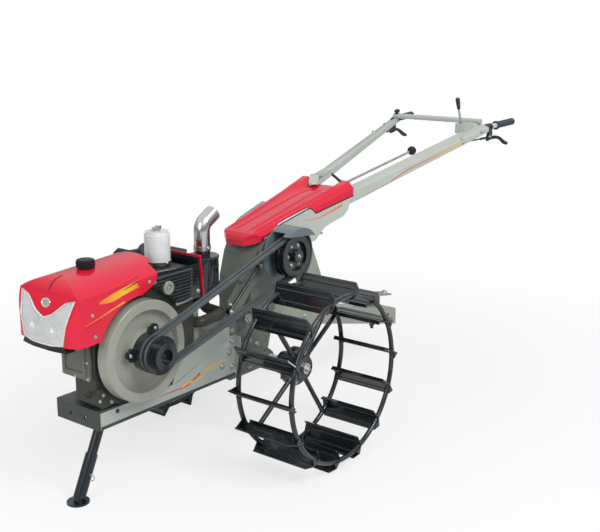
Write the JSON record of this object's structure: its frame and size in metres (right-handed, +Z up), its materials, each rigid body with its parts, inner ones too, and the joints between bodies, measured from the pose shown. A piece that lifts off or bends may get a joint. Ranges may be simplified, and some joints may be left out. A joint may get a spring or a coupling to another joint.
{
  "type": "walking tractor",
  "caption": "Walking tractor on steel cage wheels with a single-cylinder engine, belt drive, long handlebars, rear drawbar and folding front stand.",
  "frame": {"origin": "on the ground under the middle of the overall length and width", "axes": "+X forward towards the headlamp, +Y to the machine's left, +Z up"},
  "size_m": [2.7591, 1.167, 1.2818],
  "materials": {
    "grey_paint": "satin",
    "pale_paint": "satin",
    "red_paint": "gloss",
    "black_steel": "satin",
    "stand_paint": "satin",
    "bright_steel": "satin",
    "engine_paint": "satin",
    "dark_iron": "satin",
    "stack_chrome": "polished",
    "belt_rubber": "matt",
    "grip_rubber": "matt",
    "lamp_glass": "ribbed",
    "lamp_chrome": "polished",
    "cleaner_plastic": "translucent",
    "cap_plastic": "matt"
  },
  "bodies": {
    "chassis": {"gearbox": "grey_paint", "axle_housings": "grey_paint", "frame_rails": "grey_paint", "front_crossmember": "grey_paint", "hitch_bracket": "grey_paint", "drawbar": "grey_paint", "handle_brace": "grey_paint", "gear_plate": "grey_paint", "side_panels": "pale_paint", "handle_tubes": "pale_paint", "lever_gate": "pale_paint", "hood": "red_paint", "top_cover": "red_paint", "rear_panel": "red_paint", "pulley_guard": "black_steel", "fan_guard": "black_steel", "muffler": "black_steel", "crossbar": "black_steel", "control_rods": "black_steel", "hand_levers": "black_steel", "gate_lever": "black_steel", "shift_lever": "black_steel", "stand_bracket": "stand_paint", "cylinder_head": "engine_paint", "exhaust_stack": "stack_chrome", "engine_block": "dark_iron", "engine_front_cover": "dark_iron", "exhaust_elbow": "dark_iron", "v_belts": "belt_rubber", "grips": "grip_rubber", "headlamp_lens": "lamp_glass", "headlamp_reflector": "lamp_chrome", "air_cleaner": "cleaner_plastic", "fuel_cap": "cap_plastic", "headlamp_lip": "cap_plastic"},
    "wheel_left": {"cage_left": "black_steel", "wheel_hub_left": "black_steel", "axle_left": "bright_steel"},
    "wheel_right": {"cage_right": "black_steel", "wheel_hub_right": "black_steel", "axle_right": "bright_steel"},
    "stand": {"stand_leg": "stand_paint"},
    "crank": {"flywheel": "engine_paint", "engine_pulley": "black_steel"},
    "input_pulley": {"driven_pulley": "black_steel"}
  },
  "joints": [
    {"name": "left_wheel_spin", "type": "hinge", "parent": "chassis", "child": "wheel_left", "pos_m": [0.461, 0, 0.3528], "axis": [0, 1, 0], "continuous": true},
    {"name": "right_wheel_spin", "type": "hinge", "parent": "chassis", "child": "wheel_right", "pos_m": [0.461, 0, 0.3528], "axis": [0, 1, 0], "continuous": true},
    {"name": "stand_fold", "type": "hinge", "parent": "chassis", "child": "stand", "pos_m": [1.123, 0, 0.316], "axis": [0, 1, 0], "range_deg": [0, 100]},
    {"name": "crank_spin", "type": "hinge", "parent": "chassis", "child": "crank", "pos_m": [1.068, 0, 0.541], "axis": [0, 1, 0], "continuous": true},
    {"name": "input_pulley_spin", "type": "hinge", "parent": "chassis", "child": "input_pulley", "pos_m": [0.331, 0, 0.749], "axis": [0, 1, 0], "continuous": true}
  ],
  "couplings": [
    {"joint": "input_pulley_spin", "follows": "crank_spin", "ratio": 0.7273}
  ]
}
